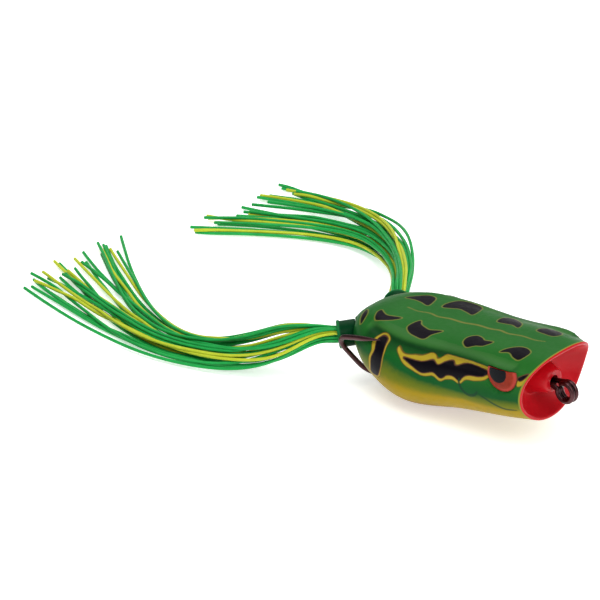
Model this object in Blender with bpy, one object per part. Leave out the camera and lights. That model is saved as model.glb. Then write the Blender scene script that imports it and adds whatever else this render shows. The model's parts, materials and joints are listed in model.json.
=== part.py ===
"""Hollow-body popping frog, a topwater fishing lure: soft hollow body with a cupped mouth, double hook,
keel weight, glued-in eyes and two silicone strand legs in rubber collars.

Frame: origin on the belly's rest flat, +X towards the mouth, +Y the frog's left, +Z up. Sizes are in
millimetres and become metres where a mesh or a curve is made.
"""

import math

import bmesh
import bpy
import numpy as np
from mathutils import Matrix, Vector

MM = 0.001
GAP = 0.3  # clearance between pieces that touch
SIDES = {"left": 1, "right": -1}

# Body: place along X, half width, belly height and back height, from the tail's tip to the lips
STATIONS = np.array(
    (
        (-21.0, 0.0, 12.0, 12.0),
        (-20.2, 4.2, 9.8, 15.0),
        (-18.1, 7.9, 7.9, 17.1),
        (-14.5, 11.4, 5.7, 18.6),
        (-9.0, 14.6, 2.3, 19.6),
        (0.0, 15.9, -0.6, 20.3),
        (14.0, 13.9, 2.3, 21.6),
        (26.0, 13.0, 4.5, 23.1),
        (34.0, 11.4, 6.0, 23.9),
    )
)
LAST_STATION = len(STATIONS) - 1
WIDEST = 0.62  # share of a section's height at which it is widest
BACK_ROUNDNESS, BELLY_ROUNDNESS = 2.6, 2.05  # superellipse exponents
WALL = 1.4
HEAD_WALL, HEAD_STATION = 1.6, 6.0  # extra thickness from here to the mouth, behind the eyes
BODY_RINGS, BODY_SEGMENTS = 30, 44
TAIL_RINGS = 6

# Fold along each side of the back, with the groove that it overhangs
FOLD_START, FOLD_START_ANGLE, FOLD_TURN = 4.0, 59.0, 7.2  # a station, degrees above the side, degrees less a station
FOLD_FIRST_STATION, FOLD_FADE, FOLD_FRONT_FADE = 3.0, 1.0, 0.55
FOLD_HEIGHT, FOLD_WIDTH = 0.55, 7.0
GROOVE_DEPTH, GROOVE_BELOW, GROOVE_WIDTH = 0.75, 13.0, 7.0
BROW_STATION, BROW_LENGTH, BROW_HEIGHT = 7.2, 0.5, 0.75  # the fold stands out further over each eye

# Mouth cup
LIP_X, LIP_SIDE, LIP_LEAN, LIP_HOLLOW = 33.3, 1.0, 1.8, 2.4
LIP_CENTRE_Z, LIP_HALF_WIDTH, LIP_HALF_HEIGHT = 15.5, 12.0, 9.0
LIP_EASE_FROM = 20.0
LIP_THICKNESS = 0.8
CUP_FLOOR_X, CUP_POWER, CUP_RINGS = 28.6, 2.4, 13
NUB_HEIGHT, NUB_RADIUS, NUB_FOOT = 6.0, 2.4, 4.9
CUP_ROUND_SHARE, CUP_ROUND_RADIUS = 0.45, 5.0  # the cup's rings are circles up to here, then take the lips' outline

# Hook: one wire, with both shanks side by side along a sloping axis
WIRE_RADIUS = 0.6
SHANK_SPREAD = 0.7
SHANK_NOSE = Vector((35.0, 0.0, 15.4))
SHANK_TAIL = Vector((-5.5, 0.0, 5.4))
SHANK_AXIS = (SHANK_NOSE - SHANK_TAIL).normalized()
EYE_CENTRE = Vector((38.5, 0.0, 13.95))
EYE_RADIUS, EYE_SPREAD = 2.15, 0.65
EYE_CROSSING = (0.455, 0.545)  # share of the turns over which the wire passes from one side to the other
EYE_START, EYE_END, EYE_POINTS = 115.0, -545.0, 40  # degrees
HOOK_SIDE = (  # one side, from the end of the shank round the bend to the point
    (-9.5, 1.9, 3.5),
    (-13.4, 4.2, 2.0),
    (-15.3, 7.0, 3.6),
    (-16.1, 10.4, 7.4),
    (-16.5, 13.6, 11.4),
    (-15.6, 14.8, 13.8),
    (-12.6, 15.0, 15.0),
    (-8.6, 15.0, 16.0),
    (-4.4, 14.6, 17.0),
)
POINT_TAPER = 5.0
HOOK_ROLL = math.radians(-3.0)  # the wire lies a little turned in the soft body
NOSE_HOLE_RADIUS = 1.85
SLOT_X, SLOT_HALF_WIDTH, SLOT_TOP = (-17.5, -4.5), 4.4, 6.2
SLOT_SIZE = (SLOT_X[1] - SLOT_X[0], 2 * SLOT_HALF_WIDTH, 12.0)

# Keel weight round the shanks: distance along the shank from its rear end, and radius
WEIGHT_PROFILE = ((0.0, 2.3), (1.2, 3.1), (4.5, 3.7), (8.0, 3.3), (11.5, 2.3))
WEIGHT_BORE = 1.8

# Eyes
EYE_PLACE = Vector((29.2, 11.4, 19.6))
EYE_FACING = Vector((0.10, 0.97, 0.06))
EYEBALL_RADIUS, EYEBALL_DOME, EYEBALL_RIM, EYEBALL_SEAT = 3.9, 0.8, 0.1, 0.6
BROW_Z, BROW_SLOPE = 21.3, 0.06  # underside of the brow, which covers the top of each eye

# Legs: the middle of each collar's seat on the body, and the way it faces
SEAT = Vector((-17.4, 7.2, 12.7))
COLLAR_FACING = Vector((-0.72, 0.69, -0.14))
CUFF_RADIUS, CUFF_ROOT = 3.5, 4.5
STEM_RADIUS, STEM_REACH = 2.5, 2.4
BARB_RADIUS, BARB_LENGTH = 3.3, 1.0
SLEEVE_RADIUS, SLEEVE_LENGTH, RIM_RADIUS, RIM_LENGTH = 3.05, 4.2, 3.3, 0.7
STEM_BORE, SLEEVE_BORE, BORE_STEP = 1.9, 2.6, 1.2
KNOT_RADIUS, KNOT_LENGTH = 2.3, 1.6
TIE_RADIUS, TIE_WIDTH = 2.1, 0.9

# Strand locks: seven to a leg, in a round bundle at the collar that flattens and fans out to the tips
LOCK_LAYERS = (0, 1, -1, 0, 1, -1, 0)  # height in the bundle of each lock, from the leg's outer edge to its inner
LOCK_POINTS = 20
LOCK_FLOOR = 0.15
LEG_EDGES = {  # the bundle's outer and inner edges, from just outside the collar to the tips
    "right": (
        (
            (-21.4, -11.3, 10.5),
            (-23.6, -14.7, 9.9),
            (-29.6, -19.2, 6.2),
            (-38.5, -23.2, 2.6),
            (-49.5, -27.0, 1.3),
            (-63.0, -29.2, 1.1),
            (-79.0, -28.2, 1.1),
            (-95.0, -26.2, 1.1),
            (-108.5, -24.5, 1.1),
        ),
        (
            (-22.0, -11.2, 13.4),
            (-25.0, -12.6, 13.4),
            (-32.0, -15.2, 10.6),
            (-41.0, -17.0, 6.4),
            (-51.0, -18.6, 3.4),
            (-62.0, -18.2, 1.9),
            (-76.0, -13.0, 1.2),
            (-91.0, -3.6, 1.1),
            (-104.5, 6.4, 1.1),
        ),
    ),
    "left": (
        (
            (-20.9, 12.3, 13.0),
            (-22.6, 16.0, 13.4),
            (-27.6, 23.4, 12.0),
            (-35.0, 31.4, 9.6),
            (-44.0, 39.0, 7.0),
            (-55.0, 46.0, 4.4),
            (-68.0, 51.4, 2.4),
            (-81.0, 54.0, 1.3),
            (-93.0, 55.2, 1.1),
        ),
        (
            (-22.3, 10.4, 10.9),
            (-25.6, 14.0, 11.0),
            (-32.0, 22.0, 8.8),
            (-40.0, 30.4, 5.8),
            (-49.0, 37.0, 3.2),
            (-60.0, 40.6, 1.8),
            (-72.0, 38.0, 1.2),
            (-84.0, 31.2, 1.1),
            (-95.0, 23.0, 1.1),
        ),
    ),
}
LOCK_STAGES = {  # along the way: place, distance of a layer from the middle one, lock radius
    "share": (0.0, 0.15, 0.5, 0.75, 1.0),
    "layer": (1.5, 1.5, 1.5, 1.2, 0.0),
    "radius": (0.58, 0.6, 0.62, 0.75, 0.9),
}

MATERIALS = {  # base colour, roughness, metallic
    "body_green": ((0.045, 0.21, 0.04), 0.35, 0.0),
    "hook_wire": ((0.05, 0.035, 0.035), 0.25, 1.0),
    "lead": ((0.25, 0.25, 0.27), 0.6, 1.0),
    "eye": ((0.75, 0.12, 0.04), 0.1, 0.0),
    "collar": ((0.0, 0.12, 0.05), 0.45, 0.0),
    "tie": ((0.02, 0.02, 0.02), 0.6, 0.0),
    "strand_green": ((0.01, 0.33, 0.07), 0.4, 0.0),
    "strand_yellow": ((0.6, 0.6, 0.03), 0.4, 0.0),
}


def clear_scene():
    for obj in list(bpy.data.objects):
        bpy.data.objects.remove(obj, do_unlink=True)


def material(name):
    found = bpy.data.materials.get(name)
    if found:
        return found
    colour, roughness, metallic = MATERIALS[name]
    made = bpy.data.materials.new(name)
    made.use_nodes = True
    shader = made.node_tree.nodes["Principled BSDF"]
    shader.inputs["Base Color"].default_value = (*colour, 1.0)
    shader.inputs["Roughness"].default_value = roughness
    shader.inputs["Metallic"].default_value = metallic
    made.diffuse_color = (*colour, 1.0)
    return made


def add_object(name, data, material_name, parent=None):
    obj = bpy.data.objects.new(name, data)
    bpy.context.scene.collection.objects.link(obj)
    if material_name:
        data.materials.append(material(material_name))
    if parent:
        obj.parent = parent
        obj.matrix_parent_inverse = parent.matrix_world.inverted()
    return obj


def add_mesh(name, bm, material_name=None, parent=None):
    """An object from a bmesh in millimetres, with its faces turned outwards."""
    bmesh.ops.recalc_face_normals(bm, faces=bm.faces)
    bmesh.ops.scale(bm, vec=(MM, MM, MM), verts=bm.verts)
    mesh = bpy.data.meshes.new(name)
    bm.to_mesh(mesh)
    bm.free()
    mesh.shade_smooth()
    mesh.set_sharp_from_angle(angle=math.radians(40))
    return add_object(name, mesh, material_name, parent)


def add_pivot(name, place):
    pivot = bpy.data.objects.new(name, None)
    pivot.location = Vector(place) * MM
    pivot.empty_display_size = 5 * MM
    bpy.context.scene.collection.objects.link(pivot)
    bpy.context.view_layer.update()
    return pivot


def cutter(name, bm):
    obj = add_mesh(name, bm)
    obj.hide_render = True
    obj.display_type = "WIRE"
    return obj


def add_boolean(obj, other, operation):
    modifier = obj.modifiers.new(f"{operation.lower()}_{other.name}", "BOOLEAN")
    modifier.object = other
    modifier.operation = operation
    modifier.solver = "EXACT"


def catmull_rom(rows, at):
    """Smooth curve through rows[1:-1] at the parameters at, counted from rows[1]."""
    at = np.clip(at, 0.0, len(rows) - 3.0)
    first = np.minimum(at.astype(int), len(rows) - 4)
    t = (at - first)[..., None]
    a, b, c, d = (rows[first + k] for k in range(4))
    return b + 0.5 * t * (c - a + t * (2 * a - 5 * b + 4 * c - d + t * (3 * b - a - 3 * c + d)))


def smooth_route(points, count):
    """Evenly parametrised points on a smooth curve through hand-set ones."""
    points = np.array(points, float)
    rows = np.vstack((2 * points[0] - points[1], points, 2 * points[-1] - points[-2]))
    return catmull_rom(rows, np.linspace(0, len(points) - 1, count))


def bring_along(axis):
    """Rotation that turns +Z to axis."""
    return Vector((0, 0, 1)).rotation_difference(Vector(axis)).to_matrix().to_4x4()


# Body surface


def lip_x(y, z):
    rise = (z - LIP_CENTRE_Z) / LIP_HALF_HEIGHT
    return LIP_X + LIP_SIDE * (y / LIP_HALF_WIDTH) ** 2 + LIP_LEAN * rise + LIP_HOLLOW * rise**2


def fold_offset(station, angle):
    """How far the skin stands out at the folds beside the back, and in at the grooves under them."""
    above_side = np.degrees(np.minimum(np.abs(angle), np.pi - np.abs(angle)))
    crest = FOLD_START_ANGLE - FOLD_TURN * (station - FOLD_START)
    height = FOLD_HEIGHT + BROW_HEIGHT * np.exp(-(((station - BROW_STATION) / BROW_LENGTH) ** 2))
    ridge = height * np.exp(-(((above_side - crest) / FOLD_WIDTH) ** 2))
    groove = GROOVE_DEPTH * np.exp(-(((above_side - crest + GROOVE_BELOW) / GROOVE_WIDTH) ** 2))
    fade = np.clip((station - FOLD_FIRST_STATION) / FOLD_FADE, 0, 1)
    front_fade = np.clip((LAST_STATION - station) / FOLD_FRONT_FADE, 0, 1)
    return np.where(angle > 0, (ridge - groove) * fade * front_fade, 0.0)


def body_point(station, angle, inset=0.0):
    """Skin point at a station and an angle about X, 0 at the left side and 90 degrees at the back."""
    mirrored_tip = STATIONS[1] * (1, -1, 1, 1)
    mirrored_tip[2:] = mirrored_tip[3], mirrored_tip[2]
    rows = np.vstack((mirrored_tip, STATIONS, 2 * STATIONS[-1] - STATIONS[-2]))
    x, half_width, belly, back = np.moveaxis(catmull_rom(rows, station), -1, 0)
    half_width = np.maximum(half_width - inset, 0)
    centre = belly + (back - belly) * WIDEST
    cosine, sine = np.cos(angle), np.sin(angle)
    power = 2 / np.where(sine > 0, BACK_ROUNDNESS, BELLY_ROUNDNESS)
    height = np.maximum(np.where(sine > 0, back - centre, centre - belly) - inset, 0)
    out = 1 + fold_offset(station, angle) / np.maximum(half_width, 4.0)
    y = half_width * out * np.sign(cosine) * np.abs(cosine) ** power
    z = centre + height * out * np.sign(sine) * np.abs(sine) ** power
    ease = np.clip((x - LIP_EASE_FROM) / (STATIONS[-1][0] - LIP_EASE_FROM), 0, 1) ** 2
    x = x + (lip_x(y, z) - STATIONS[-1][0]) * ease
    return np.stack((x, y, z), -1)


def ring_stations(last, rings):
    """Stations of the body's rings, closer together round the tail."""
    tail = 1.2 * (np.arange(1, TAIL_RINGS + 1) / TAIL_RINGS) ** 1.3
    return np.concatenate((tail, np.linspace(1.2, last, rings - TAIL_RINGS + 1)[1:]))


def loft(rings, start=None, end=None):
    """A closed bmesh through rings of points, with a pole or an n-gon at each end."""
    bm = bmesh.new()
    loops = [[bm.verts.new(p) for p in ring] for ring in rings]
    count = len(rings[0])
    for near, far in zip(loops, loops[1:]):
        for i in range(count):
            j = (i + 1) % count
            bm.faces.new((near[i], near[j], far[j], far[i]))
    for loop, pole in ((loops[0], start), (loops[-1], end)):
        if pole is None:
            bm.faces.new(loop)
            continue
        tip = bm.verts.new(pole)
        for i in range(count):
            bm.faces.new((loop[i], loop[(i + 1) % count], tip))
    return bm


def cup_rings(lip):
    """Rings of the mouth cup, from inside the lip to the raised nub round the hook's shank."""
    middle = np.array((SHANK_NOSE.y, SHANK_NOSE.z))
    across = lip[:, 1:] - middle
    reach = np.linalg.norm(across, axis=1, keepdims=True)
    rings = []
    for share in np.linspace(1, 0.06, CUP_RINGS):
        outline = max(share - CUP_ROUND_SHARE, 0) / (1 - CUP_ROUND_SHARE)
        circle = CUP_ROUND_RADIUS * min(share / CUP_ROUND_SHARE, 1)
        radius = circle + (reach - LIP_THICKNESS - CUP_ROUND_RADIUS) * outline
        rise = np.clip((NUB_FOOT - radius) / (NUB_FOOT - NUB_RADIUS), 0, 1)
        nub = NUB_HEIGHT * rise**2 * (3 - 2 * rise)
        depth = (lip[:, :1] - CUP_FLOOR_X) * share**CUP_POWER
        rings.append(np.hstack((CUP_FLOOR_X + depth + nub, middle + across / reach * radius)))
    return rings


def body_outside():
    angles = np.linspace(0, 2 * math.pi, BODY_SEGMENTS, endpoint=False)
    rings = [body_point(np.full_like(angles, s), angles) for s in ring_stations(LAST_STATION, BODY_RINGS)]
    tip = (STATIONS[0][0], 0, STATIONS[0][2])
    nub_tip = (CUP_FLOOR_X + NUB_HEIGHT, SHANK_NOSE.y, SHANK_NOSE.z)
    return loft(rings + cup_rings(rings[-1]), tip, nub_tip)


def body_hollow():
    """The air space inside the body, a wall's thickness within the skin and behind the cup."""
    angles = np.linspace(0, 2 * math.pi, BODY_SEGMENTS // 2, endpoint=False)
    rings = []
    for station in np.linspace(1.0, LAST_STATION - 0.95, BODY_RINGS // 2):
        thickness = WALL + HEAD_WALL * min(max(station - HEAD_STATION, 0) * 2, 1)
        ring = body_point(np.full_like(angles, station), angles, thickness)
        ring[:, 0] = np.minimum(ring[:, 0], CUP_FLOOR_X - WALL)
        rings.append(ring)
    return loft(rings)


def cylinder(radius, start, end, segments=28):
    start, end = Vector(start), Vector(end)
    bm = bmesh.new()
    turn = Matrix.Translation((start + end) / 2) @ bring_along(end - start)
    bmesh.ops.create_cone(
        bm,
        cap_ends=True,
        segments=segments,
        radius1=radius,
        radius2=radius,
        depth=(end - start).length,
        matrix=turn,
    )
    return bm


def box(centre, size):
    bm = bmesh.new()
    bmesh.ops.create_cube(bm, size=1.0, matrix=Matrix.Translation(centre) @ Matrix.Diagonal((*size, 1)))
    return bm


def mirrored(vector, side):
    return Vector((vector[0], SIDES[side] * vector[1], vector[2]))


def add_body():
    body = add_mesh("body_shell", body_outside(), "body_green")
    for side in SIDES:
        seat, facing = mirrored(SEAT, side), mirrored(COLLAR_FACING, side).normalized()
        cuff = cutter(f"cuff_{side}", cylinder(CUFF_RADIUS, seat - facing * CUFF_ROOT, seat))
        add_boolean(body, cuff, "UNION")
    add_boolean(body, cutter("hollow", body_hollow()), "DIFFERENCE")
    nose_hole = cylinder(NOSE_HOLE_RADIUS, SHANK_NOSE - SHANK_AXIS * 12, SHANK_NOSE + SHANK_AXIS * 4)
    add_boolean(body, cutter("nose_hole", nose_hole), "DIFFERENCE")
    slot_centre = (sum(SLOT_X) / 2, 0, SLOT_TOP - SLOT_SIZE[2] / 2)
    add_boolean(body, cutter("belly_slot", box(slot_centre, SLOT_SIZE)), "DIFFERENCE")
    add_boolean(body, cutter("rest_flat", box((0, 0, -5), (80, 60, 10))), "DIFFERENCE")
    for side in SIDES:
        seat, facing = mirrored(SEAT, side), mirrored(COLLAR_FACING, side).normalized()
        socket = cylinder(STEM_RADIUS + GAP, seat - facing * (CUFF_ROOT + 1), seat + facing)
        add_boolean(body, cutter(f"leg_socket_{side}", socket), "DIFFERENCE")
        room = cylinder(CUFF_RADIUS + GAP, seat, seat + facing * 2 * SLEEVE_LENGTH)
        add_boolean(body, cutter(f"collar_room_{side}", room), "DIFFERENCE")
        inside = cylinder(BARB_RADIUS + GAP, seat - facing * (CUFF_ROOT + 1), seat - facing * STEM_REACH)
        add_boolean(body, cutter(f"barb_room_{side}", inside), "DIFFERENCE")
        place, look = mirrored(EYE_PLACE, side), mirrored(EYE_FACING, side).normalized()
        recess = cylinder(EYEBALL_RADIUS + GAP, place - look * (EYEBALL_SEAT + GAP), place + look * 4, 36)
        cut_under_brow(recess, BROW_Z)
        add_boolean(body, cutter(f"eye_recess_{side}", recess), "DIFFERENCE")


def turned(profile, place, axis, segments=28, bore=None):
    """A solid turned round an axis from (distance, radius) points, closed at both ends or bored through."""
    turn = Matrix.Translation(place) @ bring_along(axis)
    angles = np.linspace(0, 2 * math.pi, segments, endpoint=False)
    rings = []
    for distance, radius in profile:
        ring = [turn @ Vector((radius * math.cos(a), radius * math.sin(a), distance)) for a in angles]
        rings.append(ring)
    if bore is None:
        return loft(rings)
    for distance, radius in bore:
        ring = [turn @ Vector((radius * math.cos(a), radius * math.sin(a), distance)) for a in angles]
        rings.append(ring)
    bm = loft(rings)
    # The bore's rings carry on from the outside, so the two end caps are swapped for one band.
    caps = [face for face in bm.faces if len(face.verts) > 4]
    bmesh.ops.delete(bm, geom=caps, context="FACES_ONLY")
    open_edges = [edge for edge in bm.edges if edge.is_boundary]
    bmesh.ops.bridge_loops(bm, edges=open_edges)
    return bm


def cut_under_brow(bm, height):
    """Cuts off what reaches above the brow's underside."""
    bmesh.ops.triangulate(bm, faces=bm.faces)
    plane = {"plane_co": (EYE_PLACE.x, 0, height), "plane_no": (-BROW_SLOPE, 0, 1)}
    everything = bm.verts[:] + bm.edges[:] + bm.faces[:]
    bmesh.ops.bisect_plane(bm, geom=everything, clear_outer=True, **plane)
    bmesh.ops.holes_fill(bm, edges=[edge for edge in bm.edges if edge.is_boundary])


def add_eyes():
    for side in SIDES:
        place, look = mirrored(EYE_PLACE, side), mirrored(EYE_FACING, side).normalized()
        profile = [(-EYEBALL_SEAT, EYEBALL_RADIUS), (EYEBALL_RIM, EYEBALL_RADIUS)]
        for share in (0.97, 0.9, 0.75, 0.5, 0.25, 0.05):
            dome = EYEBALL_RIM + (EYEBALL_DOME - EYEBALL_RIM) * math.sqrt(1 - share**2)
            profile.append((dome, EYEBALL_RADIUS * share))
        eye = turned(profile, place, look, 32)
        cut_under_brow(eye, BROW_Z - GAP)
        add_mesh(f"eye_{side}", eye, "eye")


def hook_route():
    """Points along the wire, from the left point to the right one, with the line-tie eye in the middle."""
    left_side = [Vector(p) for p in HOOK_SIDE]
    spread = Vector((0, SHANK_SPREAD, 0))
    shank = [SHANK_TAIL.lerp(SHANK_NOSE, share) for share in (0.0, 0.25, 0.5, 0.75, 0.95)]
    eye = []
    for turn in np.linspace(0, 1, EYE_POINTS):
        angle = math.radians(EYE_START + (EYE_END - EYE_START) * turn)
        out = Vector((math.cos(angle), 0, math.sin(angle))) * EYE_RADIUS
        crossed = np.interp(turn, EYE_CROSSING, (0, 1))
        eye.append(EYE_CENTRE + out + Vector((0, EYE_SPREAD * math.cos(math.pi * crossed), 0)))
    bend = smooth_route([tuple(p) for p in left_side[::-1]] + [tuple(p + spread) for p in shank[:2]], 56)
    left = [Vector(p) for p in bend] + [p + spread for p in shank[2:]]
    right = [mirrored(p, "right") for p in reversed(left)]
    roll = Matrix.Rotation(HOOK_ROLL, 3, SHANK_AXIS)
    return [SHANK_NOSE + roll @ (p - SHANK_NOSE) for p in left + eye + right]


def add_tube(name, points, radii, material_name, parent=None):
    """A round wire or strand: a curve with a bevel along a list of points in millimetres."""
    curve = bpy.data.curves.new(name, "CURVE")
    curve.dimensions = "3D"
    curve.use_fill_caps = True
    curve.bevel_resolution = 2
    curve.bevel_depth = MM
    spline = curve.splines.new("POLY")
    spline.points.add(len(points) - 1)
    for point, place, radius in zip(spline.points, points, radii):
        point.co = (*(Vector(place) * MM), 1.0)
        point.radius = radius
    spline.use_smooth = True
    return add_object(name, curve, material_name, parent)


def add_hook(pivot):
    route = hook_route()
    steps = [0.0]
    for a, b in zip(route, route[1:]):
        steps.append(steps[-1] + (b - a).length)
    radii = []
    for step in steps:
        to_point = min(step, steps[-1] - step)
        radii.append(max(WIRE_RADIUS * min(to_point / POINT_TAPER, 1.0) ** 0.7, 0.06))
    add_tube("double_hook", route, radii, "hook_wire", pivot)
    bore = [(distance, WEIGHT_BORE) for distance in (WEIGHT_PROFILE[-1][0], 0.0)]
    weight = turned(WEIGHT_PROFILE, SHANK_TAIL, SHANK_AXIS, 24, bore)
    add_mesh("keel_weight", weight, "lead", pivot)


def add_collars():
    for side in SIDES:
        seat, facing = mirrored(SEAT, side), mirrored(COLLAR_FACING, side).normalized()
        outside = (
            (-STEM_REACH - GAP - BARB_LENGTH, STEM_RADIUS),
            (-STEM_REACH - GAP, BARB_RADIUS),
            (-STEM_REACH - GAP, STEM_RADIUS),
            (GAP, STEM_RADIUS),
            (GAP, SLEEVE_RADIUS),
            (GAP + SLEEVE_LENGTH - RIM_LENGTH, SLEEVE_RADIUS),
            (GAP + SLEEVE_LENGTH - RIM_LENGTH, RIM_RADIUS),
            (GAP + SLEEVE_LENGTH, RIM_RADIUS),
        )
        bore = (
            (GAP + SLEEVE_LENGTH, SLEEVE_BORE),
            (GAP + BORE_STEP, SLEEVE_BORE),
            (GAP + BORE_STEP - 0.7, STEM_BORE),
            (-STEM_REACH - GAP - BARB_LENGTH, STEM_BORE),
        )
        add_mesh(f"leg_collar_{side}", turned(outside, seat, facing, 28, bore), "collar")


def add_strand_roots():
    """The gathered strands inside each collar, and the rubber tie behind it that they can't pull through."""
    inner_end = -STEM_REACH - GAP - BARB_LENGTH
    for side in SIDES:
        seat, facing = mirrored(SEAT, side), mirrored(COLLAR_FACING, side).normalized()
        neck = STEM_BORE - GAP
        root = (
            (inner_end - GAP - TIE_WIDTH - GAP - KNOT_LENGTH, neck),
            (inner_end - GAP - TIE_WIDTH - GAP - KNOT_LENGTH / 2, KNOT_RADIUS),
            (inner_end - GAP - TIE_WIDTH - GAP, neck),
            (GAP + BORE_STEP, neck),
            (GAP + BORE_STEP + 1.2, SLEEVE_BORE - GAP),
            (GAP + SLEEVE_LENGTH - 0.3, SLEEVE_BORE - GAP),
        )
        add_mesh(f"strand_root_{side}", turned(root, seat, facing, 20), "strand_green")
        tie = ((inner_end - GAP - TIE_WIDTH, TIE_RADIUS + GAP), (inner_end - GAP, TIE_RADIUS + GAP))
        hole = ((inner_end - GAP, neck + GAP), (inner_end - GAP - TIE_WIDTH, neck + GAP))
        add_mesh(f"strand_tie_{side}", turned(tie, seat, facing, 20, hole), "tie")


def add_legs():
    for side in SIDES:
        seat, facing = mirrored(SEAT, side), mirrored(COLLAR_FACING, side).normalized()
        pivot = add_pivot(f"kick_{side}", seat + facing * (GAP + SLEEVE_LENGTH))
        outer, inner = (smooth_route(edge, LOCK_POINTS) for edge in LEG_EDGES[side])
        lift = np.cross(np.gradient((outer + inner) / 2, axis=0), outer - inner)
        lift *= np.sign(lift[-1, 2]) / np.linalg.norm(lift, axis=1, keepdims=True)
        share = np.linspace(0, 1, LOCK_POINTS)
        stages = {key: np.interp(share, LOCK_STAGES["share"], LOCK_STAGES[key]) for key in LOCK_STAGES}
        for number, layer in enumerate(LOCK_LAYERS, 1):
            across = (number - 1) / (len(LOCK_LAYERS) - 1)
            points = outer + (inner - outer) * across + lift * (layer * stages["layer"])[:, None]
            points[:, 2] = np.maximum(points[:, 2], stages["radius"] + LOCK_FLOOR)
            colour = "strand_yellow" if number % 3 == 0 else "strand_green"
            add_tube(f"strand_lock_{side}_{number}", points, stages["radius"], colour, pivot)


def main():
    clear_scene()
    add_body()
    add_eyes()
    add_hook(add_pivot("hook_slide", SHANK_NOSE))
    add_collars()
    add_strand_roots()
    add_legs()


main()
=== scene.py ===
"""Looks of the hollow-body popping frog: painted body, glossy eyes, plated double hook, strand legs.

Frame of the CAD part: origin on the belly's rest flat, +X towards the mouth, +Y the frog's left, +Z up.
Sizes are in millimetres and become metres where a mesh is made.
"""

import json
import math

import bmesh
import bpy
import numpy as np
from mathutils import Matrix, Vector

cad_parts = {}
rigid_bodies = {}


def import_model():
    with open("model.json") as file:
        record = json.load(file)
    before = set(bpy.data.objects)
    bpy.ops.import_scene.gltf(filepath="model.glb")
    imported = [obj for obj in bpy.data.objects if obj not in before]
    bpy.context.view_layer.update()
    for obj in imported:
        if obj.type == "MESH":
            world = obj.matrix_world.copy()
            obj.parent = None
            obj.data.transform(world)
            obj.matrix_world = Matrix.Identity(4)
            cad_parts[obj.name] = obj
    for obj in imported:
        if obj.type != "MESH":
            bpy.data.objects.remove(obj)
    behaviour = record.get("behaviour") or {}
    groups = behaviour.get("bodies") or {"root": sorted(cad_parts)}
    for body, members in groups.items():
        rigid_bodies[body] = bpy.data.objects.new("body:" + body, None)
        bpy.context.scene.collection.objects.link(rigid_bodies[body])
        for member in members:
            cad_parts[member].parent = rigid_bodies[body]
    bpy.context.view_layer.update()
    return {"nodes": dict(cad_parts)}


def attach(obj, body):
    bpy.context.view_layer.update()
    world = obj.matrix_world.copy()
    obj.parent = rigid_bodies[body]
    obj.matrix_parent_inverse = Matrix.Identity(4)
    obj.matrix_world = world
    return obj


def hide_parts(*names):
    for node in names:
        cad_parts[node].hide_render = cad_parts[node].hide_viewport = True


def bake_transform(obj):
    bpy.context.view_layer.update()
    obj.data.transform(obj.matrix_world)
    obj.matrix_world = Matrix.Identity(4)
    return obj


for start_object in list(bpy.data.objects):
    bpy.data.objects.remove(start_object, do_unlink=True)

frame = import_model()

MM = 0.001
SIDES = {"left": 1, "right": -1}
SEED = 7

# Body, as in the CAD part: place along X, half width, belly height and back height, tail to lips
STATIONS = np.array(
    (
        (-21.0, 0.0, 12.0, 12.0),
        (-20.2, 4.2, 9.8, 15.0),
        (-18.1, 7.9, 7.9, 17.1),
        (-14.5, 11.4, 5.7, 18.6),
        (-9.0, 14.6, 2.3, 19.6),
        (0.0, 15.9, -0.6, 20.3),
        (14.0, 13.9, 2.3, 21.6),
        (26.0, 13.0, 4.5, 23.1),
        (34.0, 11.4, 6.0, 23.9),
    )
)
LAST_STATION = len(STATIONS) - 1
WIDEST = 0.62
BACK_ROUNDNESS, BELLY_ROUNDNESS = 2.6, 2.05
WALL = 1.4
HEAD_WALL, HEAD_STATION = 1.6, 6.0
SKIN_RINGS, TAIL_RINGS, SKIN_SEGMENTS, CUP_SKIN_RINGS = 210, 25, 240, 60
HOLLOW_RINGS, HOLLOW_SEGMENTS = 40, 64

# Fold beside the back and the groove under it
FOLD_START, FOLD_START_ANGLE, FOLD_TURN = 4.0, 59.0, 7.2
FOLD_FIRST_STATION, FOLD_FADE, FOLD_FRONT_FADE = 3.0, 1.0, 0.55
FOLD_HEIGHT, FOLD_WIDTH = 0.55, 7.0
GROOVE_DEPTH, GROOVE_BELOW, GROOVE_WIDTH = 0.75, 13.0, 7.0
BROW_STATION, BROW_LENGTH, BROW_HEIGHT = 7.2, 0.5, 0.75

# Mouth cup
LIP_X, LIP_SIDE, LIP_LEAN, LIP_HOLLOW = 33.3, 1.0, 1.8, 2.4
LIP_CENTRE_Z, LIP_HALF_WIDTH, LIP_HALF_HEIGHT = 15.5, 12.0, 9.0
LIP_EASE_FROM = 20.0
LIP_THICKNESS, LIP_ROUND = 0.8, 0.22
LIP_ROLL = (0.12, 0.3, 0.5, 0.7, 0.88)
CUP_FLOOR_X, CUP_POWER = 28.6, 2.4
NUB_HEIGHT, NUB_RADIUS, NUB_FOOT = 6.0, 2.4, 4.9
CUP_ROUND_SHARE, CUP_ROUND_RADIUS = 0.45, 5.0

# Hook
WIRE_RADIUS = 0.6
SHANK_SPREAD = 0.7
SHANK_NOSE = Vector((35.0, 0.0, 15.4))
SHANK_TAIL = Vector((-5.5, 0.0, 5.4))
SHANK_AXIS = (SHANK_NOSE - SHANK_TAIL).normalized()
NOSE_HOLE_RADIUS = 1.38
SLOT_X, SLOT_HALF_WIDTH, SLOT_TOP = (-17.5, -4.5), 4.4, 6.2

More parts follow.
